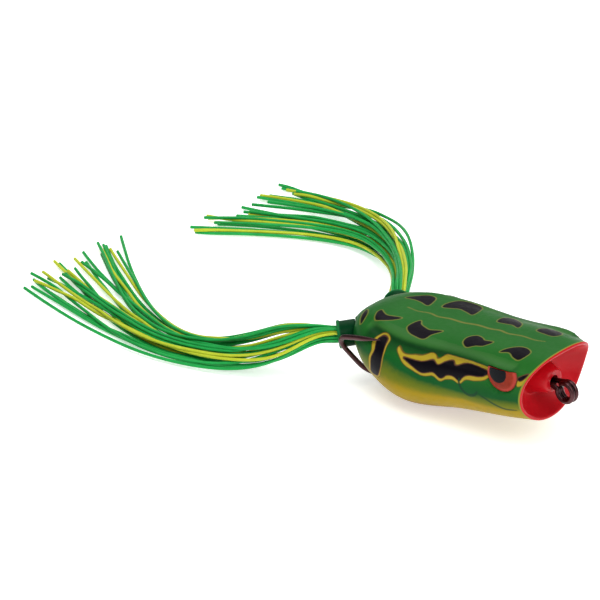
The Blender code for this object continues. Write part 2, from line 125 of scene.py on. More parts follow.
# Eyes
EYE_PLACE = Vector((29.2, 11.4, 19.6))
EYE_FACING = Vector((0.10, 0.97, 0.06))
EYE_RADIUS = 3.9
EYE_SEAT_DEPTH, EYE_SEAT_RISE = 0.15, 0.1
DOME_RADIUS, DOME_HEIGHT = 4.0, 0.8
PUPIL_PLACE = (-0.9, 0.0, 0.4)
BROW_Z, BROW_SLOPE = 20.95, 0.06

# Legs
SEAT = Vector((-17.4, 7.2, 12.7))
COLLAR_FACING = Vector((-0.72, 0.69, -0.14))
CUFF_RADIUS, CUFF_ROOT = 3.5, 4.5
GAP = 0.3
STEM_RADIUS, STEM_REACH, STEM_BORE = 2.5, 2.4, 1.9
SLEEVE_RADIUS, SLEEVE_LENGTH, RIM_RADIUS, RIM_LENGTH = 3.05, 4.2, 3.3, 0.7
SLEEVE_BORE = 2.6
ROOT_RADIUS, ROOT_MOUTH_RADIUS, ROOT_FLUTES, FLUTE_SHARE = 1.6, 2.2, 14, 0.09


def mirrored(vector, side):
    return Vector((vector[0], SIDES[side] * vector[1], vector[2]))


def linear(red, green, blue):
    """Scene-linear colour from the usual 0 to 255 values."""
    levels = []
    for level in (red, green, blue):
        share = level / 255
        levels.append(share / 12.92 if level <= 10 else ((share + 0.055) / 1.055) ** 2.4)
    return tuple(levels)


def catmull_rom(rows, at):
    """Smooth curve through rows[1:-1] at the parameters at, counted from rows[1]."""
    at = np.clip(at, 0.0, len(rows) - 3.0)
    first = np.minimum(at.astype(int), len(rows) - 4)
    t = (at - first)[..., None]
    a, b, c, d = (rows[first + k] for k in range(4))
    return b + 0.5 * t * (c - a + t * (2 * a - 5 * b + 4 * c - d + t * (3 * b - a - 3 * c + d)))


def smooth_route(points, count):
    """Points on a smooth curve through given ones, the same number between each two."""
    points = np.array(points, float)
    rows = np.vstack((2 * points[0] - points[1], points, 2 * points[-1] - points[-2]))
    return catmull_rom(rows, np.linspace(0, len(points) - 1, count))


def smooth_step(value, low, high):
    t = np.clip((value - low) / (high - low), 0, 1)
    return t * t * (3 - 2 * t)


# Meshes


def add_object(name, bm, materials, smooth_angle=40):
    """An object from a bmesh in millimetres."""
    bmesh.ops.recalc_face_normals(bm, faces=bm.faces)
    bmesh.ops.scale(bm, vec=(MM, MM, MM), verts=bm.verts)
    mesh = bpy.data.meshes.new(name)
    bm.to_mesh(mesh)
    bm.free()
    mesh.shade_smooth()
    mesh.set_sharp_from_angle(angle=math.radians(smooth_angle))
    for one in materials:
        mesh.materials.append(one)
    obj = bpy.data.objects.new(name, mesh)
    bpy.context.scene.collection.objects.link(obj)
    return obj


def loft(rings, start=None, end=None, material_of=None):
    """A closed bmesh through rings of points, with a pole or an n-gon at each end."""
    bm = bmesh.new()
    loops = [[bm.verts.new(p) for p in ring] for ring in rings]
    count = len(rings[0])
    for number, (near, far) in enumerate(zip(loops, loops[1:])):
        for i in range(count):
            j = (i + 1) % count
            face = bm.faces.new((near[i], near[j], far[j], far[i]))
            face.material_index = material_of(number) if material_of else 0
    for loop, pole in ((loops[0], start), (loops[-1], end)):
        if pole is None:
            bm.faces.new(loop)
            continue
        tip = bm.verts.new(pole)
        for i in range(count):
            face = bm.faces.new((loop[i], loop[(i + 1) % count], tip))
            face.material_index = material_of(len(rings)) if material_of and pole is end else 0
    return bm


def bring_along(axis):
    return Vector((0, 0, 1)).rotation_difference(Vector(axis)).to_matrix().to_4x4()


def turned(profile, place, axis, segments=48, bore=None):
    """A solid turned round an axis from (distance, radius) points, closed at both ends or bored through."""
    turn = Matrix.Translation(place) @ bring_along(axis)
    angles = np.linspace(0, 2 * math.pi, segments, endpoint=False)
    rings = []
    for distance, radius in list(profile) + list(bore or ()):
        ring = [turn @ Vector((radius * math.cos(a), radius * math.sin(a), distance)) for a in angles]
        rings.append(ring)
    bm = loft(rings)
    if bore:
        caps = [face for face in bm.faces if len(face.verts) > 4]
        bmesh.ops.delete(bm, geom=caps, context="FACES_ONLY")
        bmesh.ops.bridge_loops(bm, edges=[edge for edge in bm.edges if edge.is_boundary])
    return bm


def box(low, high):
    low, high = Vector(low), Vector(high)
    bm = bmesh.new()
    place = Matrix.Translation((low + high) / 2) @ Matrix.Diagonal((*(high - low), 1))
    bmesh.ops.create_cube(bm, size=1.0, matrix=place)
    return bm


def tube(points, radii, segments):
    """A round tube with domed ends along points, its section carried along without twist."""
    points = np.array([tuple(p) for p in points], float)
    radii = np.broadcast_to(radii, len(points))
    ahead = np.gradient(points, axis=0)
    ahead /= np.linalg.norm(ahead, axis=1, keepdims=True)
    side = np.cross(ahead[0], (0.0, 0.0, 1.0))
    angles = np.linspace(0, 2 * math.pi, segments, endpoint=False)
    rings = []
    for place, direction, radius in zip(points, ahead, radii):
        side = side - direction * (side @ direction)
        side = side / np.linalg.norm(side)
        up = np.cross(side, direction)
        ring = np.cos(angles)[:, None] * side * radius + np.sin(angles)[:, None] * up * radius
        rings.append(place + ring)
    tips = [points[0] - ahead[0] * radii[0] * 0.5, points[-1] + ahead[-1] * radii[-1] * 0.5]
    return loft(rings, *tips)


# Materials


class Shader:
    """A material's node tree, with short calls for the nodes used here."""

    def __init__(self, name, roughness, **sockets):
        self.material = bpy.data.materials.new(name)
        self.material.use_nodes = True
        self.tree = self.material.node_tree
        self.surface = self.tree.nodes["Principled BSDF"]
        self.surface.inputs["Roughness"].default_value = roughness
        for socket, value in sockets.items():
            self.surface.inputs[socket.replace("_", " ")].default_value = value

    def node(self, kind, **settings):
        made = self.tree.nodes.new(kind)
        for setting, value in settings.items():
            setattr(made, setting, value)
        return made

    def put(self, socket, value):
        """Links an output to a socket, or sets the socket to a plain value."""
        if isinstance(value, bpy.types.NodeSocket):
            self.tree.links.new(value, socket)
        elif hasattr(value, "__len__") and len(value) == 3 and socket.type == "RGBA":
            socket.default_value = (*value, 1.0)
        else:
            socket.default_value = value

    def attribute(self, name):
        return self.node("ShaderNodeAttribute", attribute_name=name).outputs["Fac"]

    def position(self):
        return self.node("ShaderNodeTexCoord").outputs["Object"]

    def noise(self, scale, detail, distortion=0.0):
        """Noise from 0 to 1. The scale is in cells per metre."""
        made = self.node("ShaderNodeTexNoise")
        self.put(made.inputs["Vector"], self.position())
        for socket, value in (("Scale", scale), ("Detail", detail), ("Distortion", distortion)):
            made.inputs[socket].default_value = value
        return made.outputs["Fac"]

    def math(self, operation, a, b=0.0):
        made = self.node("ShaderNodeMath", operation=operation)
        self.put(made.inputs[0], a)
        self.put(made.inputs[1], b)
        return made.outputs[0]

    def span(self, value, low, high, out_low=0.0, out_high=1.0):
        """value from low to high becomes out_low to out_high."""
        made = self.node("ShaderNodeMapRange", interpolation_type="SMOOTHSTEP")
        for socket, given in zip(range(5), (value, low, high, out_low, out_high)):
            self.put(made.inputs[socket], given)
        return made.outputs[0]

    def mix(self, factor, a, b):
        made = self.node("ShaderNodeMix", data_type="RGBA", blend_type="MIX")
        self.put(made.inputs[0], factor)
        self.put(made.inputs[6], a)
        self.put(made.inputs[7], b)
        return made.outputs[2]

    def wash(self, colour, field, low, high, strength, tint):
        """The colour under a tint that comes in, up to the strength, as the field goes from low to high."""
        return self.mix(self.span(self.attribute(field), low, high, 0.0, strength), colour, tint)

    def colour(self, value):
        self.put(self.surface.inputs["Base Color"], value)

    def rough(self, value):
        self.put(self.surface.inputs["Roughness"], value)

    def bump(self, height, distance):
        """Bump from a height of 0 to 1 that stands for distance millimetres."""
        made = self.node("ShaderNodeBump")
        made.inputs["Distance"].default_value = distance * MM
        self.put(made.inputs["Height"], height)
        self.put(self.surface.inputs["Normal"], made.outputs["Normal"])


# Body surface, the CAD part's formula at a finer spacing


def lip_x(y, z):
    rise = (z - LIP_CENTRE_Z) / LIP_HALF_HEIGHT
    return LIP_X + LIP_SIDE * (y / LIP_HALF_WIDTH) ** 2 + LIP_LEAN * rise + LIP_HOLLOW * rise**2


def fold_parts(station, angle):
    """The ridge and the groove beside the back, each in millimetres."""
    above_side = np.degrees(np.minimum(np.abs(angle), np.pi - np.abs(angle)))
    crest = FOLD_START_ANGLE - FOLD_TURN * (station - FOLD_START)
    height = FOLD_HEIGHT + BROW_HEIGHT * np.exp(-(((station - BROW_STATION) / BROW_LENGTH) ** 2))
    ridge = height * np.exp(-(((above_side - crest) / FOLD_WIDTH) ** 2))
    groove = GROOVE_DEPTH * np.exp(-(((above_side - crest + GROOVE_BELOW) / GROOVE_WIDTH) ** 2))
    fade = np.clip((station - FOLD_FIRST_STATION) / FOLD_FADE, 0, 1)
    fade = fade * np.clip((LAST_STATION - station) / FOLD_FRONT_FADE, 0, 1) * (angle > 0)
    return ridge * fade, groove * fade


def body_point(station, angle, inset=0.0):
    """Skin point at a station and an angle about X, 0 at the left side and 90 degrees at the back."""
    mirrored_tip = STATIONS[1] * (1, -1, 1, 1)
    mirrored_tip[2:] = mirrored_tip[3], mirrored_tip[2]
    rows = np.vstack((mirrored_tip, STATIONS, 2 * STATIONS[-1] - STATIONS[-2]))
    x, half_width, belly, back = np.moveaxis(catmull_rom(rows, station), -1, 0)
    half_width = np.maximum(half_width - inset, 0)
    centre = belly + (back - belly) * WIDEST
    cosine, sine = np.cos(angle), np.sin(angle)
    power = 2 / np.where(sine > 0, BACK_ROUNDNESS, BELLY_ROUNDNESS)
    height = np.maximum(np.where(sine > 0, back - centre, centre - belly) - inset, 0)
    ridge, groove = fold_parts(station, angle)
    out = 1 + (ridge - groove) / np.maximum(half_width, 4.0)
    y = half_width * out * np.sign(cosine) * np.abs(cosine) ** power
    z = centre + height * out * np.sign(sine) * np.abs(sine) ** power
    ease = np.clip((x - LIP_EASE_FROM) / (STATIONS[-1][0] - LIP_EASE_FROM), 0, 1) ** 2
    x = x + (lip_x(y, z) - STATIONS[-1][0]) * ease
    return np.stack((x, y, z), -1)


def skin_angles():
    """Angles round the body, spaced so that the points are about evenly apart on the skin."""
    fine = np.linspace(0, 2 * math.pi, 2000)
    ring = body_point(np.full_like(fine, 5.0), fine)
    along = np.concatenate(([0], np.cumsum(np.linalg.norm(np.diff(ring, axis=0), axis=1))))
    return np.interp(np.linspace(0, along[-1], SKIN_SEGMENTS, endpoint=False), along, fine)


def skin_stations():
    """Stations of the skin's rings, about evenly apart along the body and closer round the tail."""
    tail = (np.arange(1, TAIL_RINGS + 1) / TAIL_RINGS) ** 1.6
    fine = np.linspace(1.0, LAST_STATION, 800)
    places = body_point(fine, np.full_like(fine, 0.2))
    along = np.concatenate(([0], np.cumsum(np.linalg.norm(np.diff(places, axis=0), axis=1))))
    evenly = np.linspace(0, along[-1], SKIN_RINGS - TAIL_RINGS)[1:]
    return np.concatenate((tail, np.interp(evenly, along, fine)))


def socket_pressed(points, side):
    """The skin with the shallow round seat that the eye is glued into."""
    place, look = mirrored(EYE_PLACE, side), mirrored(EYE_FACING, side).normalized()
    across = points - np.array(place)
    depth = across @ np.array(look)
    radius = np.linalg.norm(across - depth[:, None] * np.array(look), axis=1)
    near = (depth > -6) & (radius < EYE_RADIUS + 1)
    wanted = -EYE_SEAT_DEPTH + (radius / EYE_RADIUS) ** 2 * EYE_SEAT_RISE
    share = 1 - smooth_step(radius, EYE_RADIUS + 0.02, EYE_RADIUS + 0.4)
    below_brow = 1 - smooth_step(points[:, 2], 20.9, 21.3)
    push = np.where(near, np.maximum(depth - wanted, 0) * share * below_brow, 0)
    return points - push[:, None] * np.array(look)


def cup_rings(lip):
    """Rings of the rounded lip and of the mouth cup, in to the raised nub round the hook's shank."""
    middle = np.array((SHANK_NOSE.y, SHANK_NOSE.z))
    across = lip[:, 1:] - middle
    reach = np.linalg.norm(across, axis=1, keepdims=True)
    outward = across / reach
    rings = []
    for share in LIP_ROLL:
        forward = LIP_ROUND * math.sin(math.pi * share) ** 0.7
        rim = middle + outward * (reach - LIP_THICKNESS * share)
        rings.append(np.hstack((lip[:, :1] + forward, rim)))
    for share in np.linspace(1, 0.03, CUP_SKIN_RINGS):
        outline = max(share - CUP_ROUND_SHARE, 0) / (1 - CUP_ROUND_SHARE)
        circle = CUP_ROUND_RADIUS * min(share / CUP_ROUND_SHARE, 1)
        radius = circle + (reach - LIP_THICKNESS - CUP_ROUND_RADIUS) * outline
        rise = np.clip((NUB_FOOT - radius) / (NUB_FOOT - NUB_RADIUS), 0, 1)
        nub = NUB_HEIGHT * rise**2 * (3 - 2 * rise)
        depth = (lip[:, :1] - CUP_FLOOR_X) * share**CUP_POWER
        rings.append(np.hstack((CUP_FLOOR_X + depth + nub, middle + outward * radius)))
    return rings


def body_outside():
    angles = skin_angles()
    rings = []
    for station in skin_stations():
        ring = body_point(np.full_like(angles, station), angles)
        for side in SIDES:
            ring = socket_pressed(ring, side)
        ring[:, 2] = np.maximum(ring[:, 2], 0)
        rings.append(ring)
    skin_count = len(rings)
    rings += cup_rings(rings[-1])
    tip = (STATIONS[0][0], 0, STATIONS[0][2])
    nub_tip = (CUP_FLOOR_X + NUB_HEIGHT, SHANK_NOSE.y, SHANK_NOSE.z)
    return loft(rings, tip, nub_tip, lambda number: 1 if number >= skin_count - 1 else 0)


def body_hollow():
    angles = np.linspace(0, 2 * math.pi, HOLLOW_SEGMENTS, endpoint=False)
    rings = []
    for station in np.linspace(1.0, LAST_STATION - 0.95, HOLLOW_RINGS):
        thickness = WALL + HEAD_WALL * min(max(station - HEAD_STATION, 0) * 2, 1)
        ring = body_point(np.full_like(angles, station), angles, thickness)
        ring[:, 0] = np.minimum(ring[:, 0], CUP_FLOOR_X - WALL)
        rings.append(ring)
    return loft(rings)


# Painted pattern, in millimetres. Marks on the back are outlined by x and the distance from the middle,
# and those on the sides by x and z.

BACK_SPOTS = {
    "right": (
        ((-16.8, 4.8), (-15.7, 5.5), (-14.6, 7.2), (-13.7, 10.0), (-14.9, 8.9), (-16.1, 7.0)),
        (
            (-12.3, 4.6),
            (-10.9, 5.5),
            (-9.0, 6.2),
            (-5.4, 5.6),
            (-7.2, 7.6),
            (-9.7, 8.9),
            (-11.2, 8.1),
            (-12.6, 5.6),
        ),
        (
            (-0.9, 4.5),
            (0.4, 5.7),
            (2.2, 6.4),
            (3.9, 6.7),
            (6.9, 5.8),
            (5.5, 8.0),
            (4.9, 10.1),
            (2.7, 10.1),
            (0.2, 9.5),
            (-1.7, 7.7),
        ),
        (
            (15.4, 3.9),
            (17.2, 4.2),
            (18.5, 4.9),
            (20.8, 4.7),
            (19.7, 6.8),
            (17.9, 7.4),
            (16.3, 8.5),
            (14.3, 7.3),
            (14.0, 5.3),
        ),
        (
            (25.0, 7.3),
            (26.2, 5.2),
            (28.3, 3.7),
            (30.4, 3.8),
            (31.7, 5.0),
            (31.1, 7.8),
            (29.2, 7.7),
            (27.2, 6.7),
        ),
    ),
    "left": (
        ((-16.8, 4.6), (-15.6, 5.6), (-14.4, 7.3), (-13.6, 9.8), (-15.0, 8.6), (-16.2, 6.8)),
        ((-11.9, 3.3), (-10.4, 5.2), (-8.2, 7.2), (-5.8, 6.6), (-4.5, 2.6), (-6.9, 3.0), (-9.2, 3.3)),
        (
            (-1.3, 3.8),
            (-1.9, 6.0),
            (-1.0, 9.5),
            (2.5, 10.4),
            (5.7, 9.3),
            (7.2, 4.5),
            (5.0, 4.8),
            (2.6, 5.3),
            (0.6, 4.4),
        ),
        (
            (14.2, 4.6),
            (13.6, 7.6),
            (15.4, 8.8),
            (18.4, 7.6),
            (20.0, 6.2),
            (20.7, 4.1),
            (18.6, 4.8),
            (16.4, 4.5),
        ),
        ((25.3, 5.2), (25.2, 7.8), (27.4, 8.6), (29.8, 8.4), (31.0, 6.6), (30.4, 4.8), (28.4, 4.6)),
    ),
}
MIDLINE = (
    (-7.8, -0.8),
    (-4.5, -1.1),
    (-1.5, -0.4),
    (1.2, -0.8),
    (4.4, -0.2),
    (8.2, -0.2),
    (11.9, 0.5),
    (15.6, 0.4),
    (18.3, 0.8),
    (21.0, 0.3),
    (24.7, 0.8),
    (28.4, 0.6),
    (31.0, 1.3),
)
SIDE_BLACK = (
    (3.0, 16.3),
    (5.3, 16.4),
    (7.9, 16.6),
    (10.4, 17.5),
    (12.1, 17.0),
    (13.6, 17.9),
    (15.1, 18.4),
    (16.6, 18.0),
    (18.6, 18.8),
    (20.8, 19.2),
    (24.6, 19.2),
    (25.4, 18.8),
    (23.9, 18.0),
    (20.6, 17.3),
    (19.2, 16.3),
    (18.3, 15.2),
    (16.8, 15.8),
    (15.0, 15.6),
    (13.2, 14.3),
    (11.2, 15.2),
    (8.4, 14.3),
    (6.0, 15.1),
    (4.2, 15.8),
)
SIDE_YELLOW = (
    (0.2, 17.4),
    (2.9, 16.9),
    (5.6, 17.3),
    (7.4, 17.6),
    (9.4, 18.4),
    (11.4, 17.9),
    (13.2, 19.2),
    (15.4, 19.5),
    (18.2, 19.8),
    (21.4, 20.1),
    (25.6, 20.2),
    (25.6, 17.9),
    (22.6, 16.6),
    (20.2, 16.1),
    (18.4, 14.5),
    (16.6, 14.9),
    (14.6, 14.4),
    (13.0, 13.5),
    (11.2, 14.3),
    (8.6, 13.6),
    (6.0, 14.2),
    (3.6, 15.0),
    (1.7, 16.4),
)
REAR_BAR = (
    (-5.9, 17.3),
    (-4.4, 17.7),
    (-3.1, 16.9),
    (-2.8, 14.9),
    (-3.1, 12.2),
    (-4.2, 9.6),
    (-5.6, 9.0),
    (-6.9, 9.2),
    (-6.4, 10.9),
    (-6.1, 13.2),
    (-5.3, 15.4),
)
REAR_BAR_RIM = (
    (-6.9, 16.9),
    (-5.6, 18.1),
    (-3.9, 18.2),
    (-2.6, 16.9),
    (-2.4, 14.9),
    (-2.7, 12.2),
    (-3.8, 9.3),
    (-5.6, 8.5),
    (-7.5, 8.8),
    (-7.2, 10.9),
    (-6.9, 13.2),
    (-6.3, 15.0),
)
CHEEK_BLACK = ((33.3, 19.9), (34.6, 20.9), (35.6, 21.3), (34.8, 20.2), (33.9, 19.6))
CHEEK_YELLOW = ((33.4, 19.4), (34.6, 20.1), (35.9, 21.5), (35.7, 20.2), (34.8, 18.9), (33.6, 18.3))
CURL = ((18.3, 15.8), (18.3, 14.6), (19.0, 13.2), (20.2, 12.3), (21.4, 12.3), (22.5, 12.9), (23.3, 14.0))
SMILE = ((23.6, 13.3), (25.2, 12.7), (27.4, 11.5), (29.6, 10.8), (32.4, 11.2))
# Light along the fold's crest and shade under it
FOLD_CREST = (
    (-11.2, 18.1),
    (-6.4, 18.9),
    (1.5, 19.3),
    (7.4, 19.8),
    (12.6, 20.3),
    (18.3, 20.9),
    (24.2, 21.5),
    (31.4, 21.9),
)
FOLD_SHADE = (
    (-9.0, 17.6),
    (-0.3, 18.0),
    (8.4, 18.6),
    (13.9, 19.6),
    (19.8, 20.1),
    (25.1, 20.2),
    (31.8, 20.5),
)
# Heights where the gold starts to show and where it is full, at places along X
BELLY_PLACES = (-8.0, -1.6, 2.7, 7.8, 13.0, 18.3, 23.9, 29.1, 32.8)
GREEN_TOP = (13.6, 14.6, 13.2, 12.2, 12.1, 12.2, 13.0, 13.5, 13.9)
GOLD_TOP = (7.2, 7.6, 7.4, 7.4, 8.1, 9.4, 9.4, 9.7, 10.5)
FAR_FROM_MARKS = 9.0
SIDE_FROM_Y = 8.5


def signed_distance(points, outline):
    """Distance of 2-D points from a smooth closed outline, negative inside."""
    corners = np.array(outline, float)
    rows = np.vstack((corners[-1], corners, corners[0], corners[1]))
    curve = catmull_rom(rows, np.linspace(0, len(corners), len(corners) * 8 + 1))
    best = np.full(len(points), 1e9)
    inside = np.zeros(len(points), bool)
    for a, b in zip(curve[:-1], curve[1:]):
        best = np.minimum(best, distance_to_segment(points, a, b))
        crosses = (a[1] > points[:, 1]) != (b[1] > points[:, 1])
        at = a[0] + (points[:, 1] - a[1]) / (b[1] - a[1] + 1e-12) * (b[0] - a[0])
        inside ^= crosses & (points[:, 0] < at)
    return np.where(inside, -best, best)


def distance_to_segment(points, a, b):
    along = b - a
    share = np.clip((points - a) @ along / (along @ along), 0, 1)
    return np.linalg.norm(points - a - share[:, None] * along, axis=1)


def stroke_distance(points, route, half_width):
    """Distance of 2-D points from a brush stroke that thins out towards both its ends, negative inside."""
    curve = smooth_route(route, len(route) * 8)
    best = np.full(len(points), 1e9)
    for number, (a, b) in enumerate(zip(curve[:-1], curve[1:])):
        at = number / (len(curve) - 1)
        width = half_width * math.sin(math.pi * (0.08 + 0.84 * at)) ** 0.6
        best = np.minimum(best, distance_to_segment(points, a, b) - width)
    return best


def nearer(field, rows, distance):
    """Keeps the smaller of a field's stored distances and new ones, at some of its points."""
    field[rows] = np.minimum(field[rows], distance)


def paint(obj):
    """Stores each skin point's distance from each painted shape, in millimetres, for the material."""
    x, y, z = points_of(obj).T
    on_side = np.abs(y) > SIDE_FROM_Y
    marks = ("spots", "dark", "yellow", "midline", "strokes", "fold", "crest")
    fields = {name: np.full(len(x), FAR_FROM_MARKS) for name in marks}
    for side, sign in SIDES.items():
        rows = np.flatnonzero((y * sign > 0) & (z > 15))
        flat = np.stack((x[rows], y[rows] * sign), -1)
        for outline in BACK_SPOTS[side]:
            nearer(fields["spots"], rows, signed_distance(flat, outline))
    rows = np.flatnonzero(z > 18)
    fields["midline"][rows] = stroke_distance(np.stack((x[rows], y[rows]), -1), MIDLINE, 0.3)
    rows = np.flatnonzero(on_side & (x > -9))
    flat = np.stack((x[rows], z[rows]), -1)
    for outline in (SIDE_BLACK, REAR_BAR, CHEEK_BLACK):
        nearer(fields["dark"], rows, signed_distance(flat, outline))
    for outline in (SIDE_YELLOW, REAR_BAR_RIM, CHEEK_YELLOW):
        nearer(fields["yellow"], rows, signed_distance(flat, outline))
    for route, half_width in ((CURL, 0.42), (SMILE, 0.34)):
        nearer(fields["strokes"], rows, stroke_distance(flat, route, half_width))
    rows = np.flatnonzero(on_side)
    flat = np.stack((x[rows], z[rows]), -1)
    # Painted shade under the fold and a painted highlight along its crest
    fields["fold"][rows] = stroke_distance(flat, FOLD_SHADE, 0.1)
    fields["crest"][rows] = stroke_distance(flat, FOLD_CREST, 0.2)
    green_top = np.interp(x, BELLY_PLACES, GREEN_TOP)
    fields["belly"] = (green_top - z) / (green_top - np.interp(x, BELLY_PLACES, GOLD_TOP))
    # Painted shade low on the rear of the body, round the collars
    fields["tail"] = smooth_step(-x, 11.0, 18.0) * (1 - smooth_step(z, 12.0, 17.0))
    fields["height"] = z
    fields["lip"] = lip_x(y, z) - x
    for name, values in fields.items():
        store(obj, name, values)


# Materials of each piece


def skin_material():
    """Soft vinyl: green back, airbrushed gold belly, and the painted marks with their thin tan edges."""
    skin = Shader("body_skin", 0.4, Specular_IOR_Level=0.045)
    speckle = skin.noise(900, 4)
    cloud = skin.noise(90, 3)
    back = skin.mix(cloud, linear(22, 84, 26), linear(40, 105, 38))
    flank = skin.mix(cloud, linear(5, 66, 27), linear(12, 88, 33))
    colour = skin.mix(skin.span(skin.attribute("height"), 13.0, 19.5), flank, back)
    gold = skin.mix(cloud, linear(134, 112, 0), linear(162, 136, 2))
    grain = skin.math("MULTIPLY", skin.math("SUBTRACT", speckle, 0.5), 0.5)
    grainy = skin.math("ADD", skin.attribute("belly"), skin.math("MULTIPLY", grain, 0.4))
    belly = skin.span(grainy, -0.1, 1.0)
    colour = skin.mix(belly, colour, gold)
    halfway = skin.math("MULTIPLY", belly, skin.math("SUBTRACT", 1.0, belly))
    colour = skin.mix(skin.math("MULTIPLY", halfway, 2.4), colour, linear(84, 106, 14))
    colour = skin.wash(colour, "height", 5.0, 0.0, 0.85, linear(124, 78, 12))
    # Painted shade low on the rear, round the collars
    colour = skin.wash(colour, "tail", 0.0, 1.0, 0.85, linear(8, 50, 26))
    # Painted shade under the fold, then a painted highlight along its crest
    colour = skin.wash(colour, "fold", 2.2, -0.2, 0.8, linear(8, 44, 20))
    colour = skin.wash(colour, "crest", 0.7, -0.3, 0.35, linear(76, 128, 62))
    for field, edge, rim, fill, fill_end in (
        ("yellow", 0.16, linear(96, 74, 30), linear(150, 130, 30), linear(172, 150, 46)),
        ("dark", 0.22, linear(84, 56, 40), linear(8, 6, 12), linear(14, 11, 18)),
        ("spots", 0.32, linear(100, 108, 44), linear(6, 3, 9), linear(14, 8, 18)),
    ):
        distance = skin.math("ADD", skin.attribute(field), skin.math("MULTIPLY", grain, 0.25))
        colour = skin.mix(skin.span(distance, edge + 0.1, edge - 0.1), colour, rim)
        colour = skin.mix(skin.span(distance, 0.1, -0.1), colour, skin.mix(cloud, fill, fill_end))
    colour = skin.wash(colour, "midline", 0.22, -0.2, 0.75, linear(122, 116, 52))
    colour = skin.wash(colour, "strokes", 0.12, -0.12, 0.85, linear(16, 56, 34))
    colour = skin.wash(colour, "lip", 0.5, 0.3, 1.0, linear(128, 128, 46))
    skin.colour(colour)
    skin.rough(skin.span(speckle, 0.2, 0.8, 0.3, 0.44))
    skin.bump(skin.noise(1500, 3), 0.02)
    return skin.material


def mouth_material():
    mouth = Shader("mouth_red", 0.34, Specular_IOR_Level=0.2)
    mouth.colour(mouth.mix(mouth.noise(140, 3), linear(160, 6, 16), linear(196, 12, 28)))
    mouth.rough(mouth.span(mouth.noise(700, 3), 0.2, 0.8, 0.28, 0.42))
    mouth.bump(mouth.noise(1300, 3), 0.02)
    return mouth.material


def eye_material():
    eye = Shader("eye", 0.2, Specular_IOR_Level=0.08)
    rays = eye.noise(420, 4, distortion=1.5)
    iris = eye.mix(rays, linear(104, 26, 13), linear(160, 54, 30))
    colour = eye.wash(iris, "radius", 2.9, 3.5, 1.0, linear(166, 58, 46))
    colour = eye.wash(colour, "radius", 3.75, 3.95, 1.0, linear(120, 56, 44))
    colour = eye.wash(colour, "pupil", 2.45, 2.25, 1.0, linear(5, 7, 12))
    eye.colour(colour)
    eye.rough(eye.span(rays, 0.0, 1.0, 0.16, 0.26))
    eye.bump(rays, 0.01)
    return eye.material


def plated_material():
    wire = Shader("hook_wire", 0.22, Metallic=1.0)
    tarnish = wire.noise(350, 4)
    wire.colour(wire.mix(tarnish, linear(44, 28, 30), linear(96, 64, 66)))
    wire.rough(wire.span(wire.noise(1800, 3), 0.2, 0.8, 0.26, 0.4))
    wire.bump(wire.noise(2600, 2), 0.003)
    return wire.material


def plain_material(name, low, high, roughness, scale=200, bump=0.02, **sockets):
    """A material that drifts between two colours, with a fine bump."""
    plain = Shader(name, roughness, **sockets)
    plain.colour(plain.mix(plain.noise(scale, 3), linear(*low), linear(*high)))
    plain.rough(plain.span(plain.noise(1200, 3), 0.2, 0.8, roughness - 0.07, roughness + 0.09))
    plain.bump(plain.noise(1600, 3), bump)
    return plain.material


def collar_material():
    collar = Shader("collar", 0.34, Specular_IOR_Level=0.06)
    cloud = collar.noise(180, 3)
    # A darker green than the body, made darker still as painted shade; lighter towards the rim
    colour = collar.mix(cloud, linear(0, 44, 20), linear(1, 62, 28))
    colour = collar.wash(colour, "along", 3.6, 4.0, 0.6, linear(30, 120, 62))
    collar.colour(colour)
    collar.rough(collar.span(collar.noise(1200, 3), 0.2, 0.8, 0.28, 0.42))
    collar.bump(collar.noise(1500, 3), 0.02)
    return collar.material


# Pieces


def store(obj, name, values):
    attribute = obj.data.attributes.new(name, "FLOAT", "POINT")
    attribute.data.foreach_set("value", np.asarray(values, np.float32))


def points_of(obj):
    points = np.empty(len(obj.data.vertices) * 3)
    obj.data.vertices.foreach_get("co", points)
    return points.reshape(-1, 3) / MM


def cut(obj, bm, operation="DIFFERENCE", material_index=0):
    """Applies one boolean, with the other mesh in millimetres."""
    for face in bm.faces:
        face.material_index = material_index
    other = add_object("cutter", bm, obj.data.materials)
    modifier = obj.modifiers.new("cut", "BOOLEAN")
    modifier.operation = operation
    modifier.solver = "MANIFOLD"
    modifier.object = other
    graph = bpy.context.evaluated_depsgraph_get()
    made = bpy.data.meshes.new_from_object(obj.evaluated_get(graph))
    obj.modifiers.clear()
    obj.data = made
    bpy.data.objects.remove(other, do_unlink=True)


def cylinder(radius, start, end, segments=72):
    axis = Vector(end) - Vector(start)
    return turned(((0, radius), (axis.length, radius)), Vector(start), axis, segments)


def add_skin():
    body = add_object("popper_skin", body_outside(), [skin_material(), mouth_material()])
    for side in SIDES:
        seat, facing = mirrored(SEAT, side), mirrored(COLLAR_FACING, side).normalized()
        cuff = ((0, CUFF_RADIUS), (CUFF_ROOT - 0.25, CUFF_RADIUS), (CUFF_ROOT - 0.06, CUFF_RADIUS - 0.08))
        cuff += ((CUFF_ROOT, CUFF_RADIUS - 0.28),)
        cut(body, turned(cuff, seat - facing * CUFF_ROOT, facing, 72), "UNION")
    cut(body, body_hollow())
    nose_hole = cylinder(NOSE_HOLE_RADIUS, SHANK_NOSE - SHANK_AXIS * 12, SHANK_NOSE + SHANK_AXIS * 4)
    cut(body, nose_hole, material_index=1)
    low = (SLOT_X[0], -SLOT_HALF_WIDTH, SLOT_TOP - 12)
    cut(body, box(low, (SLOT_X[1], SLOT_HALF_WIDTH, SLOT_TOP)))
    for side in SIDES:
        seat, facing = mirrored(SEAT, side), mirrored(COLLAR_FACING, side).normalized()
        cut(body, cylinder(STEM_RADIUS + GAP, seat - facing * (CUFF_ROOT + 1), seat + facing))
        cut(body, cylinder(CUFF_RADIUS + GAP, seat, seat + facing * 2 * SLEEVE_LENGTH))
    body.data.shade_smooth()
    body.data.set_sharp_from_angle(angle=math.radians(40))
    paint(body)
    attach(body, "body")
    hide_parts("body_shell")


